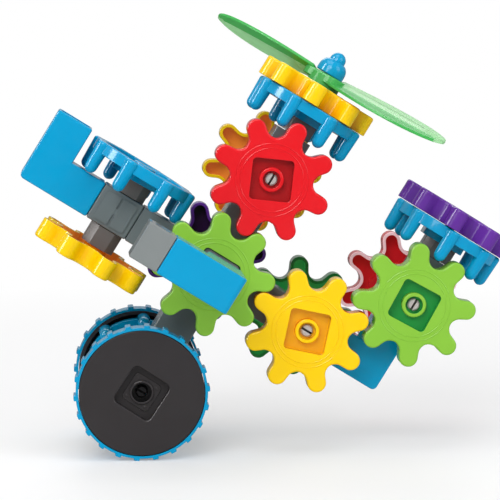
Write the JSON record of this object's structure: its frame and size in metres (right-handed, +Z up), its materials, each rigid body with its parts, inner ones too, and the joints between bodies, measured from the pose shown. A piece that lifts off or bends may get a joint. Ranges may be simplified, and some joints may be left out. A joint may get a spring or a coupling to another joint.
{
  "type": "hand crank gear construction toy",
  "caption": "Hand-cranked gear building toy in the shape of a small helicopter on two wheels, whose crank turns a gear train with crown gears and a propeller.",
  "frame": {"origin": "centre of the bounding box on the plane that the wheels stand on", "axes": "+X toward the nose, -Y toward the crank side, +Z up, with the toy leaning nose down as pictured"},
  "size_m": [0.2434, 0.1366, 0.2165],
  "materials": {
    "hub_grey": "moulded grey plastic, satin gloss",
    "block_blue": "moulded blue plastic, glossy",
    "gear_green": "moulded green plastic, glossy",
    "gear_red": "moulded red plastic, glossy",
    "gear_yellow": "moulded yellow plastic, glossy",
    "gear_purple": "moulded purple plastic, glossy",
    "gear_dark_green": "moulded green plastic, glossy",
    "grip_grey": "moulded pale grey plastic, satin gloss",
    "crown_blue": "moulded blue plastic, glossy",
    "propeller_green": "translucent green plastic, glossy",
    "cap_blue": "moulded blue plastic, glossy",
    "wheel_black": "moulded black plastic, satin gloss",
    "tyre_blue": "moulded blue plastic, glossy"
  },
  "bodies": {
    "frame": {"hub_a": "hub_grey", "hub_b": "hub_grey", "hub_c": "hub_grey", "hub_d": "hub_grey", "hub_tail": "hub_grey", "hub_wheel": "hub_grey", "pillar_ab": "hub_grey", "pillar_ac": "hub_grey", "pillar_at": "hub_grey", "pillar_aw": "hub_grey", "riser_b": "hub_grey", "riser_d": "hub_grey", "elbow_nose": "block_blue", "elbow_tail": "block_blue", "stud_front_a": "hub_grey", "stud_front_b": "hub_grey", "stud_front_c": "hub_grey", "stud_front_d": "hub_grey", "stud_rear_a": "hub_grey", "stud_rear_b": "hub_grey", "stud_rear_c": "hub_grey", "stud_rear_d": "hub_grey", "stud_top_b": "hub_grey", "stud_top_d": "hub_grey", "stud_tail_top": "hub_grey", "stud_tail_bottom": "hub_grey", "stud_wheel_front": "hub_grey", "stud_wheel_back": "hub_grey"},
    "crank": {"gear_front_a": "gear_green", "crank_post": "grip_grey", "crank_elbow": "block_blue", "crank_grip": "grip_grey"},
    "front_gear_b": {"gear_front_b": "gear_red"},
    "front_gear_c": {"gear_front_c": "gear_yellow"},
    "front_gear_d": {"gear_front_d": "gear_green"},
    "rotor": {"crown_rotor": "crown_blue", "gear_rotor": "gear_yellow", "propeller": "propeller_green", "propeller_cap": "cap_blue"},
    "nose_stack": {"crown_nose": "crown_blue", "gear_nose": "gear_purple"},
    "rear_gear_a": {"gear_rear_a": "gear_purple"},
    "rear_gear_b": {"gear_rear_b": "gear_yellow"},
    "rear_gear_c": {"gear_rear_c": "gear_dark_green"},
    "rear_gear_d": {"gear_rear_d": "gear_red"},
    "tail_crown": {"crown_tail": "crown_blue"},
    "tail_gear": {"gear_tail": "gear_yellow"},
    "front_wheel": {"wheel_front": "wheel_black", "tyre_front": "tyre_blue", "wheel_crown_front": "crown_blue"},
    "back_wheel": {"wheel_back": "wheel_black", "tyre_back": "tyre_blue", "wheel_crown_back": "crown_blue"}
  },
  "joints": [
    {"name": "crank_turn", "type": "hinge", "parent": "frame", "child": "crank", "pos_m": [-0.02922, 0.01374, 0.08954], "axis": [0, -1, 0], "continuous": true},
    {"name": "front_gear_b_turn", "type": "hinge", "parent": "frame", "child": "front_gear_b", "pos_m": [-0.00098, 0.01374, 0.13526], "axis": [0, -1, 0], "continuous": true},
    {"name": "front_gear_c_turn", "type": "hinge", "parent": "frame", "child": "front_gear_c", "pos_m": [0.0165, 0.01374, 0.0613], "axis": [0, -1, 0], "continuous": true},
    {"name": "front_gear_d_turn", "type": "hinge", "parent": "frame", "child": "front_gear_d", "pos_m": [0.0688, 0.01374, 0.07366], "axis": [0, -1, 0], "continuous": true},
    {"name": "rotor_turn", "type": "hinge", "parent": "frame", "child": "rotor", "pos_m": [-0.00098, 0.01374, 0.13526], "axis": [0.5255, 0, 0.8508], "continuous": true},
    {"name": "nose_stack_turn", "type": "hinge", "parent": "frame", "child": "nose_stack", "pos_m": [0.0688, 0.01374, 0.07366], "axis": [0.5255, 0, 0.8508], "continuous": true},
    {"name": "rear_gear_a_turn", "type": "hinge", "parent": "frame", "child": "rear_gear_a", "pos_m": [-0.02922, 0.01374, 0.08954], "axis": [0, -1, 0], "continuous": true},
    {"name": "rear_gear_b_turn", "type": "hinge", "parent": "frame", "child": "rear_gear_b", "pos_m": [-0.00098, 0.01374, 0.13526], "axis": [0, -1, 0], "continuous": true},
    {"name": "rear_gear_c_turn", "type": "hinge", "parent": "frame", "child": "rear_gear_c", "pos_m": [0.0165, 0.01374, 0.0613], "axis": [0, -1, 0], "continuous": true},
    {"name": "rear_gear_d_turn", "type": "hinge", "parent": "frame", "child": "rear_gear_d", "pos_m": [0.0688, 0.01374, 0.07366], "axis": [0, -1, 0], "continuous": true},
    {"name": "tail_crown_turn", "type": "hinge", "parent": "frame", "child": "tail_crown", "pos_m": [-0.07494, 0.01374, 0.11778], "axis": [0.5255, 0, 0.8508], "continuous": true},
    {"name": "tail_gear_turn", "type": "hinge", "parent": "frame", "child": "tail_gear", "pos_m": [-0.07494, 0.01374, 0.11778], "axis": [0.5255, 0, 0.8508], "continuous": true},
    {"name": "front_wheel_roll", "type": "hinge", "parent": "frame", "child": "front_wheel", "pos_m": [-0.06416, 0.01374, 0.03296], "axis": [0, -1, 0], "continuous": true},
    {"name": "back_wheel_roll", "type": "hinge", "parent": "frame", "child": "back_wheel", "pos_m": [-0.06416, 0.01374, 0.03296], "axis": [0, -1, 0], "continuous": true}
  ],
  "couplings": [
    {"joint": "front_gear_b_turn", "follows": "crank_turn", "ratio": -1},
    {"joint": "front_gear_c_turn", "follows": "crank_turn", "ratio": -1},
    {"joint": "front_gear_d_turn", "follows": "crank_turn", "ratio": 1},
    {"joint": "rotor_turn", "follows": "crank_turn", "ratio": 1},
    {"joint": "nose_stack_turn", "follows": "crank_turn", "ratio": -1},
    {"joint": "rear_gear_b_turn", "follows": "rear_gear_a_turn", "ratio": -1},
    {"joint": "rear_gear_c_turn", "follows": "rear_gear_a_turn", "ratio": -1},
    {"joint": "rear_gear_d_turn", "follows": "rear_gear_a_turn", "ratio": 1}
  ]
}
